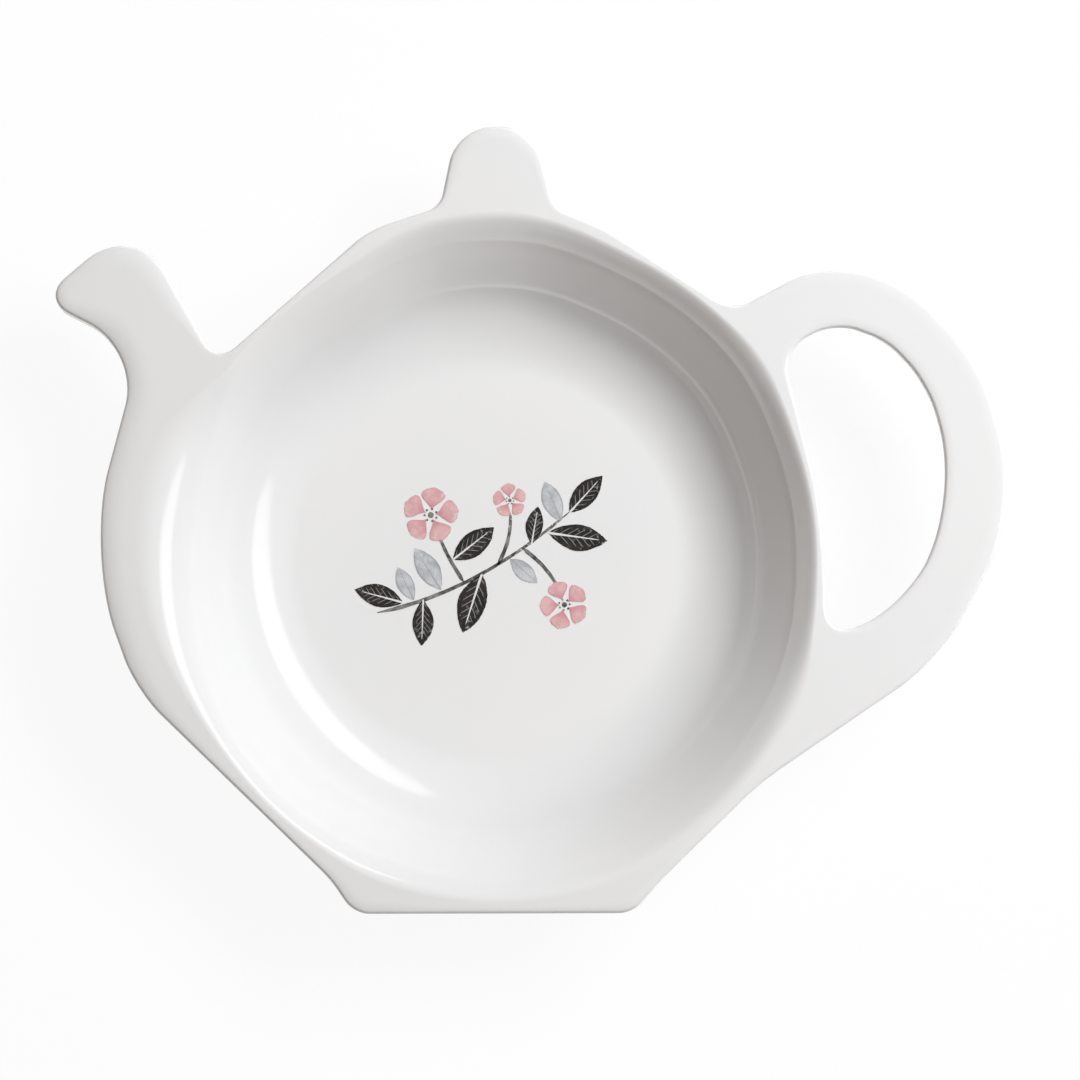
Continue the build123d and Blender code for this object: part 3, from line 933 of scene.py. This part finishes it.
def makePaleInk():
    mat, tree, stroke, wash = startInk("paleInk", paleLook, leafShape)
    veins = placeVeins(tree, stroke)
    ink = addMix(tree, wash["Wash"], paleLook["wash"], paleLook["deep"])
    ink = addMix(tree, multiply(tree, wash["Gather"], paleLook["gather"]), ink, paleLook["edge"])
    lines = addMath(tree, "MAXIMUM", veins["Midrib"], multiply(tree, veins["Side Veins"], paleLook["veins"]))
    ink = addMix(tree, multiply(tree, lines, paleLook["lines"]), ink, paleLook["edge"])
    return finishInk(mat, wash["Skip"], ink)


greyLook = {"ink": (0.055, 0.052, 0.052), "thin": (0.25, 0.24, 0.235), "blot": 900.0, "dry": 0.8}


def makeGreyInk():
    mat, tree, stroke, wash = startInk("greyInk", greyLook)
    return finishInk(mat, wash["Skip"], addMix(tree, wash["Wash"], greyLook["ink"], greyLook["thin"]))


pinkLook = {"wash": (0.74, 0.47, 0.47), "deep": (0.60, 0.25, 0.28), "edge": (0.62, 0.30, 0.32),
            "blot": 620.0, "dry": 0.5, "deepShare": 0.55, "heart": (0.12, 0.62, 0.9, 0.0), "gather": 0.65}


def makePinkInk():
    mat, tree, stroke, wash = startInk("pinkInk", pinkLook, petalShape)
    ink = addMix(tree, multiply(tree, wash["Wash"], pinkLook["deepShare"]), pinkLook["wash"], pinkLook["deep"])
    ink = addMix(tree, addRange(tree, stroke[0], *pinkLook["heart"]), ink, pinkLook["deep"])
    ink = addMix(tree, multiply(tree, wash["Gather"], pinkLook["gather"]), ink, pinkLook["edge"])
    return finishInk(mat, wash["Skip"], ink)


printLeaves("inkLeaves", sprig["leaves"], makeBlackInk(), "print_leaves", sprig["leafTop"])
printLeaves("inkPaleLeaves", sprig["paleLeaves"], makePaleInk(), "print_pale_leaves",
            sprig["paleTop"])
printBlossoms(makePinkInk())
printStems(makeGreyInk())
print("sprig printed")

# plain pale floor, a hair below the foot so that the two faces never share a plane
floorLook = {"size": 6.0, "drop": 0.05, "paper": (0.93, 0.93, 0.93), "rough": 0.9, "glow": 0.92}
bm = bmesh.new()
bmesh.ops.create_grid(bm, x_segments=1, y_segments=1, size=floorLook["size"])
bmesh.ops.translate(bm, verts=bm.verts[:], vec=(0, 0, -floorLook["drop"] * mm))
floorMesh = newMesh("paperFloor", bm)
floor = bpy.data.objects.new("paperFloor", floorMesh)
scene.collection.objects.link(floor)
floorMat, tree, shader = newFinish("whitePaper")
shader.inputs["Base Color"].default_value = (*floorLook["paper"], 1)
shader.inputs["Roughness"].default_value = floorLook["rough"]
shader.inputs["Specular IOR Level"].default_value = 0.0
glow = addNode(tree, "ShaderNodeEmission", Strength=1.0)
seen = addNode(tree, "ShaderNodeLightPath").outputs
mirrored = addMath(tree, "MAXIMUM", seen["Is Glossy Ray"], seen["Is Transmission Ray"])
share = multiply(tree, addMath(tree, "MAXIMUM", seen["Is Camera Ray"], mirrored), floorLook["glow"])
mixed = addNode(tree, "ShaderNodeMixShader")
for socket, source in zip(mixed.inputs, (share, shader.outputs[0], glow.outputs[0])):
    tree.links.new(source, socket)
tree.links.new(mixed.outputs[0], tree.nodes["Material Output"].inputs["Surface"])
floorMesh.materials.append(floorMat)

# softbox from the upper right with a wider shine, in a room that is bright overhead and pale at the horizon
studio = {
    "rise": 47.0, "tall": 0.23, "power": 4.4, "lampTint": (0.976, 1.0, 1.034),
    # bearing, width, distance, share of the power, and whether the glaze mirrors it
    "lamps": {"softbox": (33.0, 0.45, 0.65, 0.71, False), "softboxShine": (30.0, 0.8, 0.6305, 0.29, True)},
    "overhead": (0.3, 1.0, 0.02, 0.4), "horizon": (0.08, 0.16, 0.8, 0.0), "roomTint": (1.085, 1.0, 0.93),
}
rise = radians(studio["rise"])
for name, (bearing, wide, away, share, mirrors) in studio["lamps"].items():
    bearing = radians(bearing)
    aim = Vector((cos(rise) * cos(bearing), cos(rise) * sin(bearing), sin(rise)))
    lampData = bpy.data.lights.new(name, "AREA")
    lampData.shape = "ELLIPSE"
    lampData.size, lampData.size_y = wide, studio["tall"]
    lampData.energy = studio["power"] * share
    lampData.color = studio["lampTint"]
    lamp = bpy.data.objects.new(name, lampData)
    lamp.location = aim * away
    lamp.rotation_euler = aim.to_track_quat("Z", "Y").to_euler()
    lamp.visible_glossy = mirrors
    scene.collection.objects.link(lamp)
world = bpy.data.worlds.new("studio")
scene.world = world
world.use_nodes = True
sky = world.node_tree
up = splitPlace(sky, addNode(sky, "ShaderNodeTexCoord").outputs["Generated"])["Z"]
level = addMath(sky, "MAXIMUM", addRange(sky, up, *studio["overhead"]), addRange(sky, up, *studio["horizon"]))
sky.links.new(addMix(sky, 1.0, level, studio["roomTint"], "MULTIPLY"), sky.nodes["Background"].inputs["Color"])
print("floor and light set")
